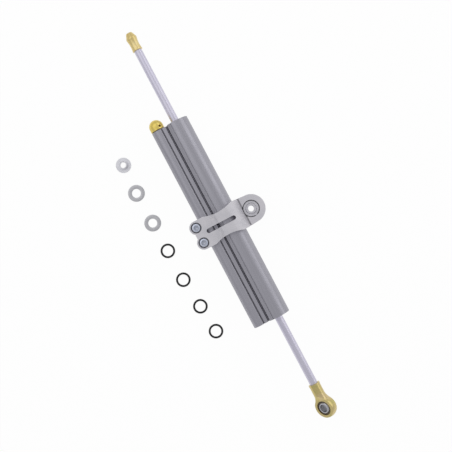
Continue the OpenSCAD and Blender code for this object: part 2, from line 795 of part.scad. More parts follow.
module clamp() {
    wide = clamp_half_width + lug_r;
    color(clamp_colour) difference() {
        intersection() {
            at_rod() clamp_sides(wide);
            at_rod() translate([0, 0, -land]) linear_extrude(height = 2 * land) clamp_plan();
        }
        at_rod() section_x(-wide, 2 * wide) body_outline(clamp_gap);
        at_rod() translate([0, 0, -crown_r]) linear_extrude(height = 2 * crown_r) slot_plan();
        translate([-wide, screw_y - 2 * ear_r, -slit_gap / 2])
            cube([2 * wide, screw_beyond + 2 * ear_r, slit_gap]);
        at_screws() {
            translate([0, 0, -plateau - over])
                cylinder(h = 2 * (plateau + over), d = screw_d + 2 * press_gap);
            cylinder(h = plateau, d = screw_d + 4 * clamp_gap);
            translate([0, 0, head_seat]) cylinder(h = plateau, d = counterbore_d);
        }
        for (side = [0, 1])
            mirror([0, 0, side]) at_rod() translate([-wide, root_at, lug_thickness / 2 - root_groove_depth])
                cube([2 * wide, root_groove_width, lug_thickness]);
        translate([0, 0, -lug_race_width / 2])
            cylinder(h = lug_thickness, d = lug_race_d + 2 * press_gap);
        translate([0, 0, -lug_thickness])
            cylinder(h = 2 * lug_thickness, d = lug_race_d - 2 * race_shoulder);
        translate([0, 0, lug_clip_at - side_gap])
            cylinder(h = lug_clip_thickness + 2 * side_gap, d = lug_race_d + 2 * lug_clip_bite);
    }
}
module clamp_screws() {
    color(zinc_colour) at_screws() difference() {
        union() {
            translate([0, 0, head_seat - screw_length]) cylinder(h = screw_length, d = screw_d);
            translate([0, 0, head_seat]) cylinder(h = head_height - head_chamfer, d = head_d);
            translate([0, 0, head_seat + head_height - head_chamfer])
                cylinder(h = head_chamfer, d1 = head_d, d2 = head_d - 2 * head_chamfer);
        }
        translate([0, 0, head_seat + head_height - screw_socket_depth])
            cylinder(h = head_height, d = screw_socket_d, $fn = 6);
    }
}

// Ball joints, about Z through the origin
module ball(bore) {
    difference() {
        intersection() {
            sphere(d = ball_d);
            translate([0, 0, -ball_width / 2]) cylinder(h = ball_width, d = ball_d + over);
        }
        translate([0, 0, -ball_width]) cylinder(h = 2 * ball_width, d = bore);
    }
}
module race(d, width) {
    difference() {
        translate([0, 0, -width / 2]) cylinder(h = width, d = d);
        sphere(d = ball_d + 2 * ball_gap);
    }
}
module lug_race() color(steel_colour) race(lug_race_d, lug_race_width);
module lug_ball() color(steel_colour) ball(lug_ball_bore);
module lug_circlip() {
    color(dark_steel_colour) translate([0, 0, lug_clip_at]) rotate(lug_clip_turn)
        linear_extrude(height = lug_clip_thickness)
            clip_outline(lug_clip_inner_r, lug_clip_outer_r, lug_clip_half_gap, 0, 0);
}

// Rod, piston and what rides with them
module rod() {
    length = rod_finish - rod_start;
    color(chrome_colour) at_rod() difference() {
        union() {
            along_x(rod_start, length, rod_d);
            along_x(rod_start - stud_length, length + 2 * stud_length, stud_d - 2 * press_gap);
        }
        at_piston_clips() tube_x(-side_gap, piston_clip_thickness + 2 * side_gap, rod_d + over,
            rod_d - 2 * rod_groove_depth);
    }
}
module at_piston_clips() {
    for (side = [0, 1]) translate([piston_middle, 0, 0]) mirror([side, 0, 0])
        translate([piston_length / 2 + side_gap, 0, 0]) children();
}
module piston() {
    color(body_colour) at_rod() difference() {
        tube_x(piston_middle - piston_length / 2, piston_length, piston_d, rod_d + 2 * press_gap);
        tube_x(piston_middle - band_width / 2 - side_gap, band_width + 2 * side_gap, piston_d + over,
            2 * piston_floor_r);
    }
}
module piston_circlips() {
    color(steel_colour) at_rod() at_piston_clips() section_x(0, piston_clip_thickness)
        clip_outline(piston_clip_inner_r, piston_clip_inner_r + piston_clip_width, clip_half_gap, 0, 0);
}
module piston_band() {
    color(band_colour) at_rod()
        tube_x(piston_middle - band_width / 2, band_width, 2 * band_outer_r, 2 * band_inner_r);
}
module piston_o_ring() color(rubber_colour) at_rod() o_ring_x(piston_middle, piston_ring_r, ring_section);

// End cap: rim, hollow waist, bulge and a tapered tip, drawn as radius against length
module cap_outline() {
    waist_depth = (cap_rim_d - cap_waist_d) / 2;
    waist_r_needed = (pow(cap_waist_at, 2) + pow(waist_depth, 2)) / (2 * waist_depth);
    difference() {
        polygon([
            [0, 0],
            [cap_bulge_d / 2, 0],
            [cap_bulge_d / 2, cap_bulge_at],
            [cap_tip_d / 2, cap_length],
            [0, cap_length]
        ]);
        translate([cap_waist_d / 2 + waist_r_needed, cap_waist_at]) circle(r = waist_r_needed);
    }
}
module end_cap() {
    color(gold_colour) translate([rod_start, rod_y, 0]) mirror([1, 0, 0]) difference() {
        turned_x(0) cap_outline();
        along_x(-over, over + stud_length + thread_spare, stud_d);
        hexagon_x(cap_length - cap_socket_depth, cap_socket_depth + over, cap_socket_d);
    }
}

// Rod end: a turned shank that flares into the eye, then thinned on both faces
module rod_end_half() {
    shank_r = shank_d / 2;
    eye_r = eye_d / 2;
    flare_x = eye_reach - sqrt(pow(eye_r + flare_r, 2) - pow(shank_r + flare_r, 2));
    intersection() {
        union() {
            square([rim_d / 2, rim_length]);
            square([shank_r, eye_reach]);
            translate([0, eye_reach]) circle(r = eye_r);
            difference() {
                polygon([[0, flare_x], [shank_r + flare_r, flare_x], [0, eye_reach]]);
                translate([shank_r + flare_r, flare_x]) circle(r = flare_r);
            }
        }
        square([eye_d, eye_reach + eye_d]);
    }
}
module neck_cut() {
    cut_x = eye_reach - eye_d / 2 + eye_thickness / 2;
    translate([cut_x, eye_thickness / 2]) square([eye_reach + eye_d, eye_d]);
    translate([cut_x, eye_thickness / 2 + neck_r]) circle(r = neck_r);
}
module rod_end() {
    color(passivated_colour) at_eye() difference() {
        turned_x(-eye_reach) rod_end_half();
        for (side = [0, 1])
            mirror([0, 0, side]) translate([-eye_reach, eye_d, 0]) rotate([90, 0, 0])
                linear_extrude(height = 2 * eye_d) neck_cut();
        along_x(-eye_reach - over, over + stud_length + thread_spare, stud_d);
        translate([0, 0, -eye_thickness]) cylinder(h = 2 * eye_thickness, d = race_d + 2 * press_gap);
    }
}
module rod_end_race() color(dark_steel_colour) at_eye() race(race_d, race_width);
module rod_end_ball() color(steel_colour) at_eye() ball(eye_ball_bore);

// Loose fittings that lie beside the damper
module flanged_sleeve() {
    height = sleeve_flange_height + sleeve_spigot_height;
    chamfer_at = height - sleeve_chamfer;
    spigot_end_d = sleeve_spigot_d - 2 * sleeve_chamfer;
    mouth_d = sleeve_bore + 2 * (sleeve_chamfer + over);
    color(steel_colour) translate([sleeve_place[0], sleeve_place[1], floor_z]) difference() {
        union() {
            cylinder(h = sleeve_flange_height, d = sleeve_flange_d);
            cylinder(h = chamfer_at, d = sleeve_spigot_d);
            translate([0, 0, chamfer_at])
                cylinder(h = sleeve_chamfer, d1 = sleeve_spigot_d, d2 = spigot_end_d);
        }
        translate([0, 0, -over]) cylinder(h = height + 2 * over, d = sleeve_bore);
        translate([0, 0, chamfer_at])
            cylinder(h = sleeve_chamfer + over, d1 = sleeve_bore, d2 = mouth_d);
    }
}
module plain_washers() {
    color(steel_colour) for (place = washer_places)
        translate([place[0], place[1], floor_z]) difference() {
            cylinder(h = washer_thickness, d = washer_d);
            translate([0, 0, -over]) cylinder(h = washer_thickness + 2 * over, d = washer_hole);
        }
}
module loose_o_rings() {
    mean_r = (loose_ring_inner_d + loose_ring_section) / 2;
    color(rubber_colour) for (place = ring_places)
        translate([place[0], place[1], floor_z + loose_ring_section / 2])
            rotate_extrude() translate([mean_r, 0]) circle(d = loose_ring_section);
}

body_extrusion();
cap_side_gland();
eye_side_gland();
gland_o_rings();
rod_seals();
rod_wipers();
guide_bushes();
gland_circlips();
end_bumpers();
adjuster_bush();
bush_o_ring();
needle_key();
valve_seat();
side_bore_plug();
plug_o_ring();
detent_ball();
detent_spring();
flanged_sleeve();
plain_washers();
loose_o_rings();
clamp();
clamp_screws();
lug_race();
lug_circlip();
lug_ball();
piston_band();
piston_o_ring();
rod();
piston();
piston_circlips();
end_cap();
rod_end();
rod_end_race();
rod_end_ball();
adjuster_knob();
adjuster_spindle();
knob_grub_screw();
spindle_o_ring();
needle();
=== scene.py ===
"""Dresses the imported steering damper: softened pieces, fittings, finishes, floor, light and camera."""
import json
import math

import bmesh
import bpy
from mathutils import Euler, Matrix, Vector
from mathutils.bvhtree import BVHTree
from mathutils.kdtree import KDTree


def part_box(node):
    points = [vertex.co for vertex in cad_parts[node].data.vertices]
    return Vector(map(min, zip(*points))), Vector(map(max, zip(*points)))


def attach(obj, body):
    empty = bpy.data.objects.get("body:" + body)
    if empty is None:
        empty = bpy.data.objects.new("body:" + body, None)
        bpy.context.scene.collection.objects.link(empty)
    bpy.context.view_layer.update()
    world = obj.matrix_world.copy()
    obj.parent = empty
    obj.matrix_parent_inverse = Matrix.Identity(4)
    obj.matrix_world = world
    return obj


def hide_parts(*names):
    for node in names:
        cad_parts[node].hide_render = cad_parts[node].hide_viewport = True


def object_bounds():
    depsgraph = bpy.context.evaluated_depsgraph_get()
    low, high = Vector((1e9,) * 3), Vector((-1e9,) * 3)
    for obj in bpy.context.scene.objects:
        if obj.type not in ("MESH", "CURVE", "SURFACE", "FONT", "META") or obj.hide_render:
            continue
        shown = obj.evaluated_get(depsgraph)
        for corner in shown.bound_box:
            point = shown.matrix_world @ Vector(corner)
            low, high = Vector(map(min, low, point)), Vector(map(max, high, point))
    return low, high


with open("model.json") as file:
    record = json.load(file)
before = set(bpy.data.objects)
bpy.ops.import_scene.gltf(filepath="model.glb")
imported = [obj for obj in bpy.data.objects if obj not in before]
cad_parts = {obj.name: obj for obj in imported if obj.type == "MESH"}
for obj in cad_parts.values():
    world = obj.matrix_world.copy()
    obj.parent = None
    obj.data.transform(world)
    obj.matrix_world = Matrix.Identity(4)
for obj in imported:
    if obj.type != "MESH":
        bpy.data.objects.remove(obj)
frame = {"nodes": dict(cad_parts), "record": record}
cad_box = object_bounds()

MM = 0.001
RECORD = frame["record"]
SLOT_OF_NODE = {part["node"]: part["material_slot"] for part in RECORD["subparts"]}
BODY_OF_NODE = {node: body for body, nodes in RECORD["behaviour"]["bodies"].items() for node in nodes}
ROD_END_BORE = next(mount for mount in RECORD["mounts"] if mount["name"] == "rod_end_bolt_bore")

# Camera straight above the damper, turned so that the rod runs down to the right; lens in millimetres
CAMERA_PLACE = (3.7 * MM, -29.95 * MM, 850 * MM)
CAMERA_TURN = math.radians(62.14)
CAMERA_LENS = 68.5

# Width of the softened edge on each machined piece, in millimetres
SOFT_EDGES = {
    "body_extrusion": 0.15,
    "clamp": 0.3,
    "rod_end": 0.15,
    "end_cap": 0.4,
    "adjuster_knob": 0.08,
    "flanged_sleeve": 0.15,
    "lug_race": 0.12,
    "lug_ball": 0.15,
    "rod_end_race": 0.12,
    "rod_end_ball": 0.15,
    "side_bore_plug": 0.15,
    "gland_circlips": 0.1,
}
# Steps across a softened edge
SOFT_EDGE_STEPS = 2
# Beside a narrow flat face an edge takes at most this share of the face's width
NARROW_SHARE = 0.3
# The strips of a round face have four corners, and a face with more of them is flat
STRIP_CORNERS = 4
# Faces that meet at more than this angle make an edge of the piece
SHARP_ANGLE = math.radians(32)
# Faces that meet at less than this angle are one face
FLAT_ANGLE = math.radians(0.4)
# Corners that lie closer than this are one corner, in metres
MERGE_DISTANCE = 1e-6

# Where a rounding would fold over itself it is narrowed by steps, and at the last left sharp
FOLD_TRIES = 8
# How far from a fold an edge is narrowed, in widths of the full rounding
FOLD_REACH = 2.5
# Share of its width that a narrowed edge keeps
FOLD_STEP = 0.5
# An edge that would keep no more than this share of the full width is left sharp
LEAST_SHARE = 0.12
# A face is folded where the cosine of its angle to the solid's own surface is below this
FOLD_FACING = 0.1
# Folded faces up to this area are too small to show, in square metres
SPECK_AREA = 2e-9

# The sRGB curve: straight up to its foot, and a power above it
SRGB_WHITE = 255
SRGB_FOOT = 0.04045
SRGB_FOOT_SLOPE = 12.92
SRGB_OFFSET = 0.055
SRGB_POWER = 2.4

# Values between which most of a grain's noise lies
NOISE_LOW = 0.3
NOISE_HIGH = 0.7
# Where a new stop starts on a colour ramp, before it is given its place
RAMP_MIDDLE = 0.5

# How open a point is to its surroundings where the painted corner shade is darkest, and where the painted
# shade ends
OPENNESS_IN_CORNER = 0.25
OPENNESS_ON_FLAT = 0.85
OPENNESS_SAMPLES = 8
# How far round a point a bore's own walls reach for its painted shade, in millimetres
BORE_SHADE_REACH = 9

# Rings that a turning tool leaves, to the metre, their detail, and their change of the finish's roughness
TOOL_RINGS = 5000
TOOL_RING_DETAIL = 3
RING_SMOOTHER = 0.05
RING_ROUGHER = 0.06

# Steps in red, green and blue from a finish's own colour to its darker and lighter patches
TURNED_DARKER = (-6, -6, -6)
TURNED_LIGHTER = (5, 5, 5)
GOLD_DEEPER = (-6, -9, -14)
GOLD_PALER = (5, 9, 18)
PHOSPHATE_DARKER = (-10, -10, -10)
PHOSPHATE_LIGHTER = (12, 12, 12)
BRONZE_DARKER = (-14, -14, -14)

# Specular level of the rubber, where a plain plastic has 0.5
RUBBER_SPECULAR = 0.35

# Clamp screws, in millimetres
SCREW_CORE_D = 4.2
SCREW_HEAD_HEIGHT = 5
SCREW_HEAD_CHAMFER = 0.5
SCREW_SOCKET_FLATS = 4
SCREW_SOCKET_DEPTH = 2.6
SCREW_SOCKET_CHAMFER = 0.25
SCREW_DRILL_D = 3.2
SCREW_DRILL_POINT = 0.8
SCREW_THREAD_PITCH = 0.8
SCREW_THREAD_HEIGHT = 0.36
SCREW_KNURL_SIZE = 0.14
# Distance of the rounded chamfer's middle from the full corner, as a share of the chamfer
SCREW_CHAMFER_BULGE = 0.35
# Length of the knurl and height of its middle, as shares of the head's height
SCREW_KNURL_LENGTH = 0.76
SCREW_KNURL_MIDDLE = 0.45
# Ridges round the knurl, sides round a screw, steps in a turn of its thread,
# and corners of the thread's section and of a ridge's
SCREW_KNURL_COUNT = 48
SCREW_SIDES = 96
SCREW_THREAD_STEPS = 24
SCREW_THREAD_CORNERS = 4
SCREW_RIDGE_CORNERS = 4

# Loose rings and washers, in millimetres
RING_FLASH = 0.05
RING_FLASH_WIDTH = 0.16
WASHER_EDGE = 0.25
# Sides round a ring or a washer, corners of a ring's section, and steps in a washer's rounded edge
LOOSE_SIDES = 96
RING_SECTION_CORNERS = 48
WASHER_EDGE_STEPS = 4


def linear(colour):
    """A colour written as sRGB out of 255, as the linear values that a shader takes."""
    values = []
    for part in colour:
        share = part / SRGB_WHITE
        if share <= SRGB_FOOT:
            values.append(share / SRGB_FOOT_SLOPE)
        else:
            values.append(((share + SRGB_OFFSET) / (1 + SRGB_OFFSET)) ** SRGB_POWER)
    return values


def shader_colour(colour):
    """The same colour with its alpha, for a socket."""
    return (*linear(colour), 1)


def shifted(colour, steps):
    """An sRGB colour moved by a step in red, green and blue, no further than white."""
    return [min(SRGB_WHITE, part + step) for part, step in zip(colour, steps)]


# Finishes


def new_finish(name, colour, metal, roughness):
    """A finish with its even colour, metal and roughness set; patterns are linked in afterwards."""
    finish = bpy.data.materials.new(name)
    finish.use_nodes = True
    shader = finish.node_tree.nodes["Principled BSDF"]
    shader.inputs["Base Color"].default_value = shader_colour(colour)
    shader.inputs["Metallic"].default_value = metal
    shader.inputs["Roughness"].default_value = roughness
    return finish


def place_on_piece(finish, centre=(0, 0, 0), turn=(0, 0, 0)):
    """Object coordinates, moved to a piece's own centre and turned to its axis."""
    tree = finish.node_tree
    place = tree.nodes.new("ShaderNodeTexCoord")
    moved = tree.nodes.new("ShaderNodeMapping")
    moved.vector_type = "TEXTURE"
    moved.inputs["Location"].default_value = centre
    moved.inputs["Rotation"].default_value = turn
    tree.links.new(place.outputs["Object"], moved.inputs["Vector"])
    return moved.outputs["Vector"]


def grain(finish, place, per_metre, detail, distortion=0):
    """Noise with its own number of grains to the metre along X, Y and Z."""
    tree = finish.node_tree
    stretched = tree.nodes.new("ShaderNodeMapping")
    stretched.inputs["Scale"].default_value = per_metre
    noise = tree.nodes.new("ShaderNodeTexNoise")
    noise.inputs["Scale"].default_value = 1
    noise.inputs["Detail"].default_value = detail
    noise.inputs["Distortion"].default_value = distortion
    tree.links.new(place, stretched.inputs["Vector"])
    tree.links.new(stretched.outputs["Vector"], noise.inputs["Vector"])
    return noise.outputs["Fac"]


def tool_rings(finish, place):
    """Fine rings round the Z axis of the place, as a turning tool leaves them."""
    tree = finish.node_tree
    flat = tree.nodes.new("ShaderNodeVectorMath")
    flat.operation = "MULTIPLY"
    flat.inputs[1].default_value = (1, 1, 0)
    from_axis = tree.nodes.new("ShaderNodeVectorMath")
    from_axis.operation = "LENGTH"
    rings = tree.nodes.new("ShaderNodeTexNoise")
    rings.noise_dimensions = "1D"
    rings.inputs["Scale"].default_value = TOOL_RINGS
    rings.inputs["Detail"].default_value = TOOL_RING_DETAIL
    tree.links.new(place, flat.inputs[0])
    tree.links.new(flat.outputs["Vector"], from_axis.inputs[0])
    tree.links.new(from_axis.outputs["Value"], rings.inputs["W"])
    return rings.outputs["Fac"]


def colour_by(finish, pattern, *stops):
    """Colours the finish from a pattern: each stop is a place between 0 and 1 and an sRGB colour."""
    tree = finish.node_tree
    ramp = tree.nodes.new("ShaderNodeValToRGB")
    elements = ramp.color_ramp.elements
    while len(elements) < len(stops):
        elements.new(RAMP_MIDDLE)
    for element, (at, colour) in zip(elements, stops):
        element.position = at
        element.color = shader_colour(colour)
    shader = tree.nodes["Principled BSDF"]
    tree.links.new(pattern, ramp.inputs["Fac"])
    tree.links.new(ramp.outputs["Color"], shader.inputs["Base Color"])


def spread_over(finish, pattern, low, high, at_low, at_high):
    """A value that goes from one end to the other as the pattern goes from low to high."""
    tree = finish.node_tree
    spread = tree.nodes.new("ShaderNodeMapRange")
    spread.inputs["From Min"].default_value = low
    spread.inputs["From Max"].default_value = high
    spread.inputs["To Min"].default_value = at_low
    spread.inputs["To Max"].default_value = at_high
    tree.links.new(pattern, spread.inputs["Value"])
    return spread.outputs["Result"]


def roughness_by(finish, pattern, smooth, rough):
    """Spreads the roughness over a pattern."""
    tree = finish.node_tree
    roughness = spread_over(finish, pattern, NOISE_LOW, NOISE_HIGH, smooth, rough)
    tree.links.new(roughness, tree.nodes["Principled BSDF"].inputs["Roughness"])


def bump_by(finish, pattern, depth):
    """Raises the surface by a pattern, to a depth in millimetres."""
    tree = finish.node_tree
    bump = tree.nodes.new("ShaderNodeBump")
    bump.inputs["Strength"].default_value = 1
    bump.inputs["Distance"].default_value = depth * MM
    tree.links.new(pattern, bump.inputs["Height"])
    tree.links.new(bump.outputs["Normal"], tree.nodes["Principled BSDF"].inputs["Normal"])


def painted_corner_shade(finish, reach, share):
    """Painted shade: darkens the colour down to a share where the piece's own walls stand within reach, in
    millimetres, as where shade falls in corners and recesses.
    """
    tree = finish.node_tree
    base_colour = tree.nodes["Principled BSDF"].inputs["Base Color"]
    openness = tree.nodes.new("ShaderNodeAmbientOcclusion")
    openness.only_local = True
    openness.samples = OPENNESS_SAMPLES
    openness.inputs["Distance"].default_value = reach * MM
    light = spread_over(finish, openness.outputs["AO"], OPENNESS_IN_CORNER, OPENNESS_ON_FLAT, share, 1)
    shade = tree.nodes.new("ShaderNodeMix")
    shade.data_type = "RGBA"
    shade.blend_type = "MULTIPLY"
    shade.inputs["Factor"].default_value = 1
    tree.links.new(base_colour.links[0].from_socket, shade.inputs["A"])
    tree.links.new(light, shade.inputs["B"])
    tree.links.new(shade.outputs["Result"], base_colour)


def anodised_body():
    """Satin grey anodising, with the faint lines that the extrusion die leaves along the body, and painted
    shade in its grooves and corners.
    """
    finish = new_finish("satin_grey_anodising", (166, 165, 173), metal=1, roughness=0.4)
    place = place_on_piece(finish)
    die_lines = grain(finish, place, per_metre=(6, 1600, 1600), detail=4)
    cloud = grain(finish, place, per_metre=(60, 90, 90), detail=2)
    colour_by(finish, die_lines, (NOISE_LOW, (161, 160, 168)), (NOISE_HIGH, (171, 170, 178)))
    roughness_by(finish, cloud, smooth=0.38, rough=0.46)
    bump_by(finish, die_lines, depth=0.006)
    # Painted shade in the body's grooves and corners
    painted_corner_shade(finish, reach=3, share=0.8)
    return finish


def blasted_clamp():
    """Bead blasted aluminium: a fine even grain that scatters the light, and painted shade in its slot and
    corners.
    """
    finish = new_finish("bead_blasted_aluminium", (213, 211, 216), metal=1, roughness=0.66)
    place = place_on_piece(finish)
    beads = grain(finish, place, per_metre=(2600, 2600, 2600), detail=2)
    cloud = grain(finish, place, per_metre=(110, 110, 110), detail=3)
    colour_by(finish, cloud, (NOISE_LOW, (208, 207, 212)), (NOISE_HIGH, (217, 215, 219)))
    roughness_by(finish, beads, smooth=0.62, rough=0.7)
    bump_by(finish, beads, depth=0.02)
    # Painted shade in the clamp's slot, step and corners
    painted_corner_shade(finish, reach=3, share=0.62)
    return finish


def turned_metal(name, colour, roughness, centre, turn=(0, 0, 0), bore_shade_share=1):
    """Bare metal faced on a lathe: fine rings round the piece's own axis, and painted shade that darkens a
    bore down to a share.
    """
    finish = new_finish(name, colour, metal=1, roughness=roughness)
    place = place_on_piece(finish, centre, turn)
    rings = tool_rings(finish, place)
    cloud = grain(finish, place, per_metre=(250, 250, 250), detail=3)
    darker = shifted(colour, TURNED_DARKER)
    lighter = shifted(colour, TURNED_LIGHTER)
    colour_by(finish, cloud, (NOISE_LOW, darker), (NOISE_HIGH, lighter))
    roughness_by(finish, rings, smooth=roughness - RING_SMOOTHER, rough=roughness + RING_ROUGHER)
    bump_by(finish, rings, depth=0.004)
    # Painted shade in the bore
    if bore_shade_share < 1:
        painted_corner_shade(finish, BORE_SHADE_REACH, bore_shade_share)
    return finish


def chromed_rod():
    """Hard chrome, ground round the rod before plating."""
    finish = new_finish("ground_hard_chrome", (208, 205, 220), metal=1, roughness=0.4)
    place = place_on_piece(finish)
    grinding = grain(finish, place, per_metre=(4200, 60, 60), detail=3)
    cloud = grain(finish, place, per_metre=(40, 200, 200), detail=2)
    colour_by(finish, cloud, (NOISE_LOW, (204, 201, 217)), (NOISE_HIGH, (212, 209, 223)))
    roughness_by(finish, grinding, smooth=0.41, rough=0.45)
    bump_by(finish, grinding, depth=0.0008)
    return finish


def gold_anodising(name, colour):
    """Gold anodising on turned aluminium: rings along the piece and a soft variation of the dye."""
    finish = new_finish(name, colour, metal=1, roughness=0.36)
    place = place_on_piece(finish)
    turning = grain(finish, place, per_metre=(3600, 30, 30), detail=3)
    dye = grain(finish, place, per_metre=(160, 160, 160), detail=3)
    deeper = shifted(colour, GOLD_DEEPER)
    paler = shifted(colour, GOLD_PALER)
    colour_by(finish, dye, (NOISE_LOW, deeper), (0.55, colour), (0.75, paler))
    roughness_by(finish, turning, smooth=0.33, rough=0.4)
    bump_by(finish, turning, depth=0.002)
    return finish


def yellow_passivate():
    """Yellow passivated zinc: gold that runs to green and pink in patches."""
    finish = new_finish("yellow_passivated_zinc", (204, 187, 132), metal=1, roughness=0.38)
    place = place_on_piece(finish)
    film = grain(finish, place, per_metre=(70, 90, 90), detail=2, distortion=0.5)
    grit = grain(finish, place, per_metre=(2200, 2200, 2200), detail=2)
    colour_by(
        finish,
        film,
        (NOISE_LOW, (189, 182, 117)),
        (0.45, (203, 186, 127)),
        (0.58, (208, 190, 140)),
        (0.72, (206, 183, 145)),
    )
    roughness_by(finish, grit, smooth=0.26, rough=0.36)
    bump_by(finish, grit, depth=0.008)
    return finish


def zinc_plate():
    """Bright zinc plating with its faint blue passivation, and painted shade in the screws' sockets and
    corners.
    """
    finish = new_finish("blue_zinc_plating", (199, 204, 218), metal=1, roughness=0.32)
    place = place_on_piece(finish)
    film = grain(finish, place, per_metre=(420, 420, 420), detail=3)
    grit = grain(finish, place, per_metre=(3000, 3000, 3000), detail=2)
    colour_by(finish, film, (NOISE_LOW, (192, 199, 217)), (NOISE_HIGH, (206, 209, 219)))
    roughness_by(finish, grit, smooth=0.26, rough=0.4)
    bump_by(finish, grit, depth=0.008)
    # Painted shade in the screws' sockets and corners
    painted_corner_shade(finish, reach=2.5, share=0.45)
    return finish


def ground_steel():
    """Ground steel of the washers and inner fittings."""
    finish = new_finish("ground_steel", (192, 192, 196), metal=1, roughness=0.36)
    place = place_on_piece(finish)
    scratches = grain(finish, place, per_metre=(2400, 300, 300), detail=4, distortion=0.4)
    cloud = grain(finish, place, per_metre=(180, 180, 180), detail=3)
    colour_by(finish, cloud, (NOISE_LOW, (186, 186, 190)), (NOISE_HIGH, (198, 198, 201)))
    roughness_by(finish, scratches, smooth=0.28, rough=0.42)
    bump_by(finish, scratches, depth=0.004)
    return finish


def phosphated_steel(name, colour):
    """Phosphated steel: a dull, fine crystal coat."""
    finish = new_finish(name, colour, metal=0.7, roughness=0.5)
    place = place_on_piece(finish)
    crystals = grain(finish, place, per_metre=(4000, 4000, 4000), detail=2)
    darker = shifted(colour, PHOSPHATE_DARKER)
    lighter = shifted(colour, PHOSPHATE_LIGHTER)
    colour_by(finish, crystals, (NOISE_LOW, darker), (NOISE_HIGH, lighter))
    roughness_by(finish, crystals, smooth=0.45, rough=0.6)
    bump_by(finish, crystals, depth=0.01)
    return finish


def machined_bronze():
    """Bearing bronze, bored and turned."""
    colour = (196, 164, 104)
    finish = new_finish("machined_bronze", colour, metal=1, roughness=0.38)
    place = place_on_piece(finish)
    turning = grain(finish, place, per_metre=(3000, 200, 200), detail=3)
    cloud = grain(finish, place, per_metre=(240, 240, 240), detail=3)
    darker = shifted(colour, BRONZE_DARKER)
    colour_by(finish, cloud, (NOISE_LOW, darker), (NOISE_HIGH, colour))
    roughness_by(finish, turning, smooth=0.32, rough=0.46)
    bump_by(finish, turning, depth=0.004)
    return finish


def filled_plastic():
    """Bronze filled bearing plastic of the piston band."""
    finish = new_finish("bronze_filled_plastic", (118, 98, 66), metal=0, roughness=0.55)
    place = place_on_piece(finish)
    flecks = grain(finish, place, per_metre=(3200, 3200, 3200), detail=2)
    colour_by(finish, flecks, (0.4, (104, 86, 58)), (NOISE_HIGH, (146, 122, 82)))
    roughness_by(finish, flecks, smooth=0.48, rough=0.62)
    bump_by(finish, flecks, depth=0.006)
    return finish


def nitrile_rubber():
    """Black moulded rubber with a faint grey bloom."""
    finish = new_finish("black_nitrile_rubber", (20, 20, 21), metal=0, roughness=0.46)
    shader = finish.node_tree.nodes["Principled BSDF"]
    shader.inputs["Specular IOR Level"].default_value = RUBBER_SPECULAR
    place = place_on_piece(finish)
    bloom = grain(finish, place, per_metre=(320, 320, 320), detail=4)
    skin = grain(finish, place, per_metre=(3400, 3400, 3400), detail=2)
    colour_by(finish, bloom, (0.35, (15, 15, 16)), (0.75, (29, 29, 31)))
    roughness_by(finish, bloom, smooth=0.38, rough=0.54)
    bump_by(finish, skin, depth=0.006)
    return finish


def middle_of(node):
    """The middle of a node's box."""
    low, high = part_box(node)
    return (low + high) / 2


FINISHES = {
    "grey_anodised": anodised_body(),
    "blasted_aluminium": blasted_clamp(),
    "turned_aluminium": turned_metal(
        "turned_aluminium", (221, 221, 226), roughness=0.38, centre=middle_of("flanged_sleeve")
    ),
    "hard_chrome": chromed_rod(),
    "gold_anodised": gold_anodising("gold_anodising", (223, 203, 143)),
    "yellow_passivated": yellow_passivate(),
    "zinc_steel": zinc_plate(),
    "bright_steel": ground_steel(),
    "black_steel": phosphated_steel("phosphated_spring_steel", (62, 62, 65)),
    "bronze": machined_bronze(),
    "bronze_plastic": filled_plastic(),
    "black_rubber": nitrile_rubber(),
}
FINISH_OF_NODE = {node: FINISHES[slot] for node, slot in SLOT_OF_NODE.items()}

# Pieces whose finish differs from the rest of their slot; the lug's ball lies at the damper's origin
LUG_MIDDLE = (0, 0, 0)
LUG_BEARING_STEEL = turned_metal("lug_bearing_steel", (206, 205, 210), roughness=0.62, centre=LUG_MIDDLE)
EYE_TURN = math.atan2(-ROD_END_BORE["axis"][1], ROD_END_BORE["axis"][2])
EYE_BEARING_STEEL = turned_metal(
    "rod_end_bearing_steel",
    (185, 185, 191),
    roughness=0.34,
    centre=middle_of("rod_end_ball"),
    turn=(EYE_TURN, 0, 0),
    # Painted shade darkens the eye's bore
    bore_shade_share=0.22,
)
FINISH_OF_NODE["lug_race"] = LUG_BEARING_STEEL
FINISH_OF_NODE["lug_ball"] = LUG_BEARING_STEEL
FINISH_OF_NODE["rod_end_ball"] = EYE_BEARING_STEEL
# The rod end's race is painted dark brown as shade: its colour stands in for the race's face in shadow
FINISH_OF_NODE["rod_end_race"] = phosphated_steel("painted_shade_race_steel", (98, 88, 76))
FINISH_OF_NODE["knob_grub_screw"] = phosphated_steel("browned_screw_steel", (152, 110, 72))
FINISH_OF_NODE["adjuster_knob"] = gold_anodising("deep_gold_anodising", (227, 205, 116))


# Pieces


def stand_in(name, mesh, node):
    """Shows a mesh in place of a CAD node, on the node's body and in its finish."""
    piece = bpy.data.objects.new(name, mesh)
    bpy.context.scene.collection.objects.link(piece)
    mesh.materials.clear()
    mesh.materials.append(FINISH_OF_NODE[node])
    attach(piece, BODY_OF_NODE[node])
    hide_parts(node)


def baked(maker):
    """The mesh that an object's modifiers make; the object itself is removed."""
    bpy.context.view_layer.update()
    evaluated = maker.evaluated_get(bpy.context.evaluated_depsgraph_get())
    mesh = bpy.data.meshes.new_from_object(evaluated)
    maker.modifiers.clear()
    bpy.data.objects.remove(maker)
    return mesh


def welded_copy(node):
    """A copy of a node's mesh with its loose triangles joined at their corners."""
    copy = bmesh.new()
    copy.from_mesh(frame["nodes"][node].data)
    bmesh.ops.remove_doubles(copy, verts=copy.verts, dist=MERGE_DISTANCE)
    return copy


def edge_share(edge, width):
    """The share of the full soft width that an edge takes; beside a narrow flat face it takes less."""
    share = 1
    for face in edge.link_faces:
        if len(face.verts) > STRIP_CORNERS:
            # A long face is about as wide as twice its area over its perimeter
            across = 2 * face.calc_area() / face.calc_perimeter()
            share = min(share, NARROW_SHARE * across / width)
    return share


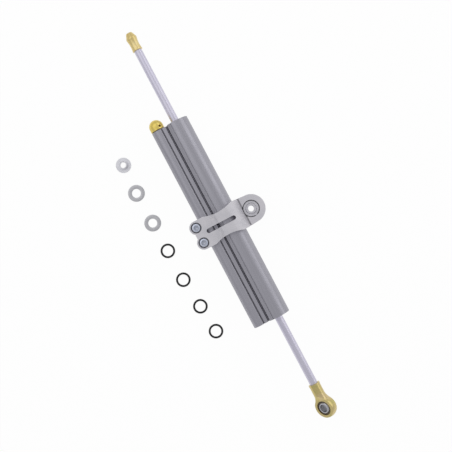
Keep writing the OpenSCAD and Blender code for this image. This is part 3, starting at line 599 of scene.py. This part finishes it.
def rounded(copy, node, edge):
    """The mesh of a solid with its marked edges rounded over, each by its own share of the full width."""
    mesh = bpy.data.meshes.new(node + "_rounded")
    copy.to_mesh(mesh)
    maker = bpy.data.objects.new(node + "_maker", mesh)
    bpy.context.scene.collection.objects.link(maker)
    bevel = maker.modifiers.new("Broken edges", "BEVEL")
    bevel.limit_method = "WEIGHT"
    bevel.width = edge * MM
    bevel.segments = SOFT_EDGE_STEPS
    bevel.use_clamp_overlap = False
    bevel.miter_outer = "MITER_ARC"
    flat_faces = maker.modifiers.new("Flat faces", "WEIGHTED_NORMAL")
    flat_faces.keep_sharp = True
    return baked(maker)


def folded_corners(mesh, surface):
    """The corners of the triangles that a too wide rounding has turned against the solid's own surface."""
    triangles = bmesh.new()
    triangles.from_mesh(mesh)
    bmesh.ops.triangulate(triangles, faces=triangles.faces)
    corners = []
    for face in triangles.faces:
        normal = surface.find_nearest(face.calc_center_median())[1]
        if face.normal.dot(normal) < FOLD_FACING and face.calc_area() > SPECK_AREA:
            corners.extend(vert.co.copy() for vert in face.verts)
    triangles.free()
    return corners


def edge_runs(marked):
    """Groups marked edges into runs: where only two of them meet, both belong to the same run."""
    runs = []
    # A dictionary keeps its order, so that the runs are the same each time
    waiting = dict.fromkeys(marked)
    while waiting:
        run = [waiting.popitem()[0]]
        for rim in run:
            for corner in rim.verts:
                meeting = [other for other in corner.link_edges if other in marked]
                for other in meeting:
                    if len(meeting) == 2 and other in waiting:
                        del waiting[other]
                        run.append(other)
        runs.append(run)
    return runs


def give_share(run, shares, share):
    """Sets one share for a whole run of edges; without a rounding the run stays sharp."""
    for rim in run:
        rim[shares] = share
        rim.smooth = share > 0


def step_back(runs, shares, corners, reach):
    """Narrows the rounding of each run of edges that has a folded corner in reach."""
    folds = KDTree(len(corners))
    for number, corner in enumerate(corners):
        folds.insert(corner, number)
    folds.balance()
    for run in runs:
        share = run[0][shares]
        near = min(folds.find(vert.co)[2] for rim in run for vert in rim.verts)
        if share > 0 and near < reach:
            narrower = share * FOLD_STEP
            give_share(run, shares, narrower if narrower > LEAST_SHARE else 0)


def softened(node, edge):
    """Shows a node's solid with its outer edges rounded over, as a machinist breaks them."""
    copy = welded_copy(node)
    bmesh.ops.dissolve_limit(copy, angle_limit=FLAT_ANGLE, verts=copy.verts, edges=copy.edges)
    surface = BVHTree.FromBMesh(copy)
    shares = copy.edges.layers.float.new("bevel_weight_edge")
    for face in copy.faces:
        face.smooth = True
    sharp = [rim for rim in copy.edges if rim.is_manifold and rim.calc_face_angle() > SHARP_ANGLE]
    for rim in sharp:
        rim.smooth = False
    runs = edge_runs(dict.fromkeys(rim for rim in sharp if rim.is_convex))
    for run in runs:
        give_share(run, shares, min(edge_share(rim, edge * MM) for rim in run))
    mesh = rounded(copy, node, edge)
    for _ in range(FOLD_TRIES):
        corners = folded_corners(mesh, surface)
        if not corners:
            break
        step_back(runs, shares, corners, FOLD_REACH * edge * MM)
        mesh = rounded(copy, node, edge)
    copy.free()
    stand_in(node + "_softened", mesh, node)


def loose_solids(node):
    """The box of each separate solid in a node, in order along the rod."""
    copy = welded_copy(node)
    waiting = set(copy.verts)
    boxes = []
    while waiting:
        group = [waiting.pop()]
        for vert in group:
            for edge in vert.link_edges:
                other = edge.other_vert(vert)
                if other in waiting:
                    waiting.remove(other)
                    group.append(other)
        low = Vector([min(vert.co[axis] for vert in group) for axis in range(3)])
        high = Vector([max(vert.co[axis] for vert in group) for axis in range(3)])
        boxes.append((low, high))
    copy.free()
    return sorted(boxes, key=lambda box: box[0].x)


# Geometry Nodes for the fittings that repeat


class FittingTree:
    """A Geometry Nodes tree under construction, with named inputs for its sizes."""

    def __init__(self, name):
        self.group = bpy.data.node_groups.new(name, "GeometryNodeTree")
        self.group.interface.new_socket("Geometry", in_out="INPUT", socket_type="NodeSocketGeometry")
        self.group.interface.new_socket("Geometry", in_out="OUTPUT", socket_type="NodeSocketGeometry")
        self.inputs = self.group.nodes.new("NodeGroupInput")
        self.sizes = {}

    def size(self, name, value, kind="NodeSocketFloat"):
        """Adds a named input, keeps its value for the modifier and gives its socket."""
        socket = self.group.interface.new_socket(name, in_out="INPUT", socket_type=kind)
        self.sizes[socket.identifier] = value
        return self.inputs.outputs[name]

    def add(self, kind, *links, **values):
        """Adds a node; links are pairs of an input's name or number and the socket or value for it."""
        node = self.group.nodes.new(kind)
        for name, value in values.items():
            setattr(node, name, value)
        for target, source in links:
            if isinstance(source, bpy.types.NodeSocket):
                self.group.links.new(source, node.inputs[target])
            else:
                node.inputs[target].default_value = source
        return node

    def maths(self, operation, first, second=0.0):
        """One step of arithmetic between sockets or numbers."""
        return self.add("ShaderNodeMath", (0, first), (1, second), operation=operation).outputs[0]

    def finish(self, geometry, finish):
        """Ends the tree: instances are made real and given their finish."""
        real = self.add("GeometryNodeRealizeInstances", ("Geometry", geometry))
        dressed = self.add("GeometryNodeSetMaterial", ("Geometry", real.outputs[0]), ("Material", finish))
        self.add("NodeGroupOutput", ("Geometry", dressed.outputs[0]))

    def run_on(self, name, mesh):
        """The plain mesh that the tree makes from a starting mesh."""
        maker = bpy.data.objects.new(name + "_maker", mesh)
        bpy.context.scene.collection.objects.link(maker)
        modifier = maker.modifiers.new(name, "NODES")
        modifier.node_group = self.group
        for identifier, value in self.sizes.items():
            modifier[identifier] = value
        return baked(maker)


def middles_mesh(name, solids):
    """A mesh of bare points, one at the middle of each solid's box."""
    mesh = bpy.data.meshes.new(name)
    mesh.from_pydata([tuple((low + high) / 2) for low, high in solids], [], [])
    return mesh


def swept_round(tree, mean_r, profile):
    """A profile curve swept round a circle about Z."""
    circle = tree.add("GeometryNodeCurvePrimitiveCircle", ("Resolution", LOOSE_SIDES), ("Radius", mean_r))
    swept = tree.add("GeometryNodeCurveToMesh", ("Curve", circle.outputs[0]), ("Profile Curve", profile))
    return tree.add("GeometryNodeSetShadeSmooth", ("Geometry", swept.outputs[0])).outputs[0]


def on_places(tree, fitting):
    """One fitting at every point of the starting mesh."""
    points = tree.inputs.outputs["Geometry"]
    return tree.add("GeometryNodeInstanceOnPoints", ("Points", points), ("Instance", fitting)).outputs[0]


def moulded_rings():
    """The loose O-rings: round in section, with the fine flash line left where the mould closed."""
    solids = loose_solids("loose_o_rings")
    low, high = solids[0]
    section = high.z - low.z
    mean_r = (high.x - low.x - section) / 2
    tree = FittingTree("moulded_ring")
    ring_r = tree.size("Mean Radius", mean_r)
    section_r = tree.size("Section Radius", section / 2 - RING_FLASH * MM)
    flash = tree.size("Flash Height", RING_FLASH * MM)
    flash_width = tree.size("Flash Width", RING_FLASH_WIDTH * MM)
    profile = tree.add(
        "GeometryNodeCurvePrimitiveCircle", ("Resolution", RING_SECTION_CORNERS), ("Radius", section_r)
    )
    position = tree.add("GeometryNodeInputPosition").outputs[0]
    parts = tree.add("ShaderNodeSeparateXYZ", (0, position))
    height = tree.maths("ABSOLUTE", parts.outputs["Y"])
    near_split = tree.maths("LESS_THAN", height, flash_width)
    outward = tree.add("ShaderNodeVectorMath", (0, position), operation="NORMALIZE").outputs[0]
    raised = tree.maths("MULTIPLY", near_split, flash)
    offset = tree.add("ShaderNodeVectorMath", (0, outward), ("Scale", raised), operation="SCALE").outputs[0]
    flashed = tree.add("GeometryNodeSetPosition", ("Geometry", profile.outputs[0]), ("Offset", offset))
    ring = swept_round(tree, ring_r, flashed.outputs[0])
    tree.finish(on_places(tree, ring), FINISH_OF_NODE["loose_o_rings"])
    mesh = tree.run_on("moulded_rings", middles_mesh("ring_places", solids))
    stand_in("loose_o_rings_moulded", mesh, "loose_o_rings")


def punched_washers():
    """The two plain washers, with the rounded edge that punching and tumbling leave."""
    solids = loose_solids("plain_washers")
    low, high = solids[0]
    outer_r = (high.x - low.x) / 2
    middle = (low + high) / 2
    hole_r = min(
        math.hypot(vert.co.x - middle.x, vert.co.y - middle.y)
        for vert in frame["nodes"]["plain_washers"].data.vertices
    )
    tree = FittingTree("punched_washer")
    outer = tree.size("Outer Radius", outer_r)
    hole = tree.size("Hole Radius", hole_r)
    thickness = tree.size("Thickness", high.z - low.z)
    edge = tree.size("Edge Radius", WASHER_EDGE * MM)
    width = tree.maths("SUBTRACT", outer, hole)
    blank = tree.add("GeometryNodeCurvePrimitiveQuadrilateral", ("Width", width), ("Height", thickness))
    filleted = tree.add(
        "GeometryNodeFilletCurve",
        ("Curve", blank.outputs[0]),
        ("Count", WASHER_EDGE_STEPS),
        ("Radius", edge),
        mode="POLY",
    )
    mean_r = tree.maths("MULTIPLY", tree.maths("ADD", outer, hole), 0.5)
    washer = swept_round(tree, mean_r, filleted.outputs[0])
    tree.finish(on_places(tree, washer), FINISH_OF_NODE["plain_washers"])
    mesh = tree.run_on("punched_washers", middles_mesh("washer_places", solids))
    stand_in("plain_washers_punched", mesh, "plain_washers")


SCREW_TURNS = [2 * math.pi * side / SCREW_SIDES for side in range(SCREW_SIDES)]


def round_rim(radius):
    """The distance of a circle from its middle, at each side of a screw."""
    return [radius] * SCREW_SIDES


def hexagon_rim(flats):
    """The distance of a hexagon from its middle, at each side of a screw, by its width across flats."""
    sixth = math.pi / 3
    return [flats / 2 / math.cos((turn % sixth) - sixth / 2) for turn in SCREW_TURNS]


def screw_blank(length, head_r):
    """One socket head screw about Z, seated at z = 0: core, head, chamfers, socket and drill point."""
    core_r = SCREW_CORE_D / 2
    top = SCREW_HEAD_HEIGHT
    bulge = SCREW_CHAMFER_BULGE * SCREW_HEAD_CHAMFER
    socket = hexagon_rim(SCREW_SOCKET_FLATS)
    socket_floor = top - SCREW_SOCKET_DEPTH
    rims = [
        (round_rim(core_r - SCREW_THREAD_HEIGHT), -length),
        (round_rim(core_r), -length + SCREW_THREAD_HEIGHT),
        (round_rim(core_r), 0),
        (round_rim(head_r), 0),
        (round_rim(head_r), top - SCREW_HEAD_CHAMFER),
        (round_rim(head_r - bulge), top - bulge),
        (round_rim(head_r - SCREW_HEAD_CHAMFER), top),
        (hexagon_rim(SCREW_SOCKET_FLATS + 2 * SCREW_SOCKET_CHAMFER), top),
        (socket, top - SCREW_SOCKET_CHAMFER),
        (socket, socket_floor),
        (round_rim(SCREW_DRILL_D / 2), socket_floor),
    ]
    blank = bmesh.new()
    loops = []
    for radii, z in rims:
        loop = []
        for radius, turn in zip(radii, SCREW_TURNS):
            corner = Vector((radius * math.cos(turn), radius * math.sin(turn), z))
            loop.append(blank.verts.new(corner * MM))
        loops.append(loop)
    for lower, upper in zip(loops, loops[1:]):
        for side in range(SCREW_SIDES):
            after = (side + 1) % SCREW_SIDES
            blank.faces.new((lower[side], lower[after], upper[after], upper[side]))
    tip = blank.verts.new((0, 0, -length * MM))
    drill_tip = blank.verts.new((0, 0, (socket_floor - SCREW_DRILL_POINT) * MM))
    for side in range(SCREW_SIDES):
        after = (side + 1) % SCREW_SIDES
        blank.faces.new((loops[0][after], loops[0][side], tip))
        blank.faces.new((loops[-1][side], loops[-1][after], drill_tip))
    bmesh.ops.recalc_face_normals(blank, faces=blank.faces)
    mesh = bpy.data.meshes.new("screw_blank")
    blank.to_mesh(mesh)
    blank.free()
    mesh.shade_smooth()
    mesh.set_sharp_from_angle(angle=SHARP_ANGLE)
    return mesh


def climbing_thread(tree, length):
    """A thread that climbs the screw's core, with one pitch left bare at each end."""
    pitch = tree.size("Thread Pitch", SCREW_THREAD_PITCH * MM)
    thread_height = tree.size("Thread Height", SCREW_THREAD_HEIGHT * MM)
    core_r = tree.size("Core Radius", SCREW_CORE_D / 2 * MM)
    thread_length = tree.size("Thread Length", length * MM)
    bare_ends = tree.maths("ADD", pitch, pitch)
    climbed = tree.maths("SUBTRACT", thread_length, bare_ends)
    turns = tree.maths("DIVIDE", climbed, pitch)
    helix = tree.add(
        "GeometryNodeCurveSpiral",
        ("Resolution", SCREW_THREAD_STEPS),
        ("Rotations", turns),
        ("Start Radius", core_r),
        ("End Radius", core_r),
        ("Height", climbed),
    )
    flank = tree.add(
        "GeometryNodeCurvePrimitiveCircle", ("Resolution", SCREW_THREAD_CORNERS), ("Radius", thread_height)
    )
    thread = tree.add(
        "GeometryNodeCurveToMesh",
        ("Curve", helix.outputs[0]),
        ("Profile Curve", flank.outputs[0]),
        ("Fill Caps", True),
    )
    start = tree.maths("SUBTRACT", pitch, thread_length)
    down = tree.add("ShaderNodeCombineXYZ", ("Z", start)).outputs[0]
    seated = tree.add("GeometryNodeTransform", ("Geometry", thread.outputs[0]), ("Translation", down))
    return seated.outputs[0]


def knurled_rim(tree, head_r):
    """Fine ridges side by side round the screw's head."""
    rim_r = tree.size("Knurl Radius", head_r * MM)
    ridge_size = tree.size("Knurl Size", SCREW_KNURL_SIZE * MM)
    ridge_count = tree.size("Knurl Count", SCREW_KNURL_COUNT, "NodeSocketInt")
    head_height = tree.size("Head Height", SCREW_HEAD_HEIGHT * MM)
    ridge = tree.add(
        "GeometryNodeMeshCylinder",
        ("Vertices", SCREW_RIDGE_CORNERS),
        ("Radius", ridge_size),
        ("Depth", tree.maths("MULTIPLY", head_height, SCREW_KNURL_LENGTH)),
    )
    around = tree.add("GeometryNodeMeshCircle", ("Vertices", ridge_count), ("Radius", rim_r))
    place = tree.add("GeometryNodeInputPosition").outputs[0]
    outward = tree.add("FunctionNodeAlignRotationToVector", ("Vector", place), axis="X", pivot_axis="Z")
    knurl = tree.add(
        "GeometryNodeInstanceOnPoints",
        ("Points", around.outputs[0]),
        ("Instance", ridge.outputs[0]),
        ("Rotation", outward.outputs[0]),
    )
    middle = tree.maths("MULTIPLY", head_height, SCREW_KNURL_MIDDLE)
    up = tree.add("ShaderNodeCombineXYZ", ("Z", middle)).outputs[0]
    raised = tree.add("GeometryNodeTransform", ("Geometry", knurl.outputs[0]), ("Translation", up))
    return raised.outputs[0]


def socket_screws():
    """The two clamp screws: a blank, a thread that climbs it and a knurled head, in a row."""
    solids = loose_solids("clamp_screws")
    low, high = solids[0]
    head_r = (high.x - low.x) / 2 / MM - SCREW_KNURL_SIZE
    seat = high.z - SCREW_HEAD_HEIGHT * MM
    length = (seat - low.z) / MM
    first_place = (low + high).xy.to_3d() / 2 + Vector((0, 0, seat))
    next_place = Vector((solids[1][0].x - low.x, 0, 0))
    tree = FittingTree("socket_screw")
    thread = climbing_thread(tree, length)
    knurl = knurled_rim(tree, head_r)
    first = tree.size("First Screw", first_place, "NodeSocketVector")
    step = tree.size("Step", next_place, "NodeSocketVector")
    screw = tree.add("GeometryNodeJoinGeometry")
    for part in (tree.inputs.outputs["Geometry"], thread, knurl):
        tree.group.links.new(part, screw.inputs[0])
    row = tree.add(
        "GeometryNodeMeshLine", ("Count", len(solids)), ("Start Location", first), ("Offset", step)
    )
    screws = tree.add(
        "GeometryNodeInstanceOnPoints", ("Points", row.outputs[0]), ("Instance", screw.outputs[0])
    )
    tree.finish(screws.outputs[0], FINISH_OF_NODE["clamp_screws"])
    mesh = tree.run_on("socket_screws", screw_blank(length, head_r))
    stand_in("clamp_screws_threaded", mesh, "clamp_screws")


for node, cad in frame["nodes"].items():
    for material_slot in cad.material_slots:
        material_slot.material = FINISH_OF_NODE[node]
for node, edge in SOFT_EDGES.items():
    softened(node, edge)
moulded_rings()
punched_washers()
socket_screws()


# Floor, light and camera

# Half the floor's side, in metres, and its four corners as shares of that
FLOOR_HALF = 3.0
FLOOR_CORNERS = ((-1, -1), (1, -1), (1, 1), (-1, 1))
# Share of light that the floor's paint scatters, and its share of plain white where it is seen or mirrored
FLOOR_WHITE = 0.9
FLOOR_GLOW = 0.96
ROOM_GREY = (0.65, 0.65, 0.66, 1)
# The point that the panel lights face
DAMPER_MIDDLE = Vector((0, -30 * MM, 0))


def floor_paint():
    """Matt white paint; seen or mirrored it is near white, and it still takes a soft shadow."""
    paint = bpy.data.materials.new("pale_floor_paint")
    paint.use_nodes = True
    tree = paint.node_tree
    tree.nodes.clear()
    matt = tree.nodes.new("ShaderNodeBsdfDiffuse")
    matt.inputs["Color"].default_value = (FLOOR_WHITE, FLOOR_WHITE, FLOOR_WHITE, 1)
    glow = tree.nodes.new("ShaderNodeEmission")
    path = tree.nodes.new("ShaderNodeLightPath")
    seen = tree.nodes.new("ShaderNodeMath")
    seen.operation = "MAXIMUM"
    seen_or_through = tree.nodes.new("ShaderNodeMath")
    seen_or_through.operation = "MAXIMUM"
    share = tree.nodes.new("ShaderNodeMath")
    share.operation = "MULTIPLY"
    share.inputs[1].default_value = FLOOR_GLOW
    mix = tree.nodes.new("ShaderNodeMixShader")
    output = tree.nodes.new("ShaderNodeOutputMaterial")
    tree.links.new(path.outputs["Is Camera Ray"], seen.inputs[0])
    tree.links.new(path.outputs["Is Glossy Ray"], seen.inputs[1])
    tree.links.new(seen.outputs[0], seen_or_through.inputs[0])
    tree.links.new(path.outputs["Is Transmission Ray"], seen_or_through.inputs[1])
    tree.links.new(seen_or_through.outputs[0], share.inputs[0])
    tree.links.new(share.outputs[0], mix.inputs["Fac"])
    tree.links.new(matt.outputs[0], mix.inputs[1])
    tree.links.new(glow.outputs[0], mix.inputs[2])
    tree.links.new(mix.outputs[0], output.inputs["Surface"])
    return paint


def pale_floor():
    """A square white floor that the damper lies on."""
    level = cad_box[0].z
    mesh = bpy.data.meshes.new("pale_floor")
    corners = [(FLOOR_HALF * x, FLOOR_HALF * y, level) for x, y in FLOOR_CORNERS]
    mesh.from_pydata(corners, [], [range(len(corners))])
    mesh.materials.append(floor_paint())
    floor = bpy.data.objects.new("pale_floor", mesh)
    bpy.context.scene.collection.objects.link(floor)


def softbox(name, place, width, height, brightness):
    """A soft panel light that faces the damper, in metres, as bright as a white of that strength."""
    panel = bpy.data.lights.new(name, "AREA")
    panel.shape = "RECTANGLE"
    panel.size = width
    panel.size_y = height
    panel.energy = brightness * math.pi * width * height
    lamp = bpy.data.objects.new(name, panel)
    bpy.context.scene.collection.objects.link(lamp)
    lamp.location = place
    lamp.rotation_euler = (DAMPER_MIDDLE - Vector(place)).to_track_quat("-Z", "Y").to_euler()
    lamp.visible_camera = False


def grey_room():
    """An even pale room round the damper."""
    room = bpy.data.worlds.new("grey_room")
    room.use_nodes = True
    background = room.node_tree.nodes["Background"]
    background.inputs["Color"].default_value = ROOM_GREY
    bpy.context.scene.world = room


def camera_above():
    """The camera that takes the picture."""
    lens = bpy.data.cameras.new("camera_above")
    lens.lens = CAMERA_LENS
    camera = bpy.data.objects.new("camera_above", lens)
    bpy.context.scene.collection.objects.link(camera)
    camera.location = CAMERA_PLACE
    camera.rotation_euler = Euler((0, 0, CAMERA_TURN))
    bpy.context.scene.camera = camera


pale_floor()
grey_room()
softbox("lug_side_panel", place=(-0.25, 1.0, 0.6), width=1.9, height=0.6, brightness=0.82)
softbox("adjuster_side_panel", place=(-0.6, -0.3, 0.8), width=1.2, height=0.9, brightness=0.52)
camera_above()
bpy.context.scene.view_settings.view_transform = "Standard"
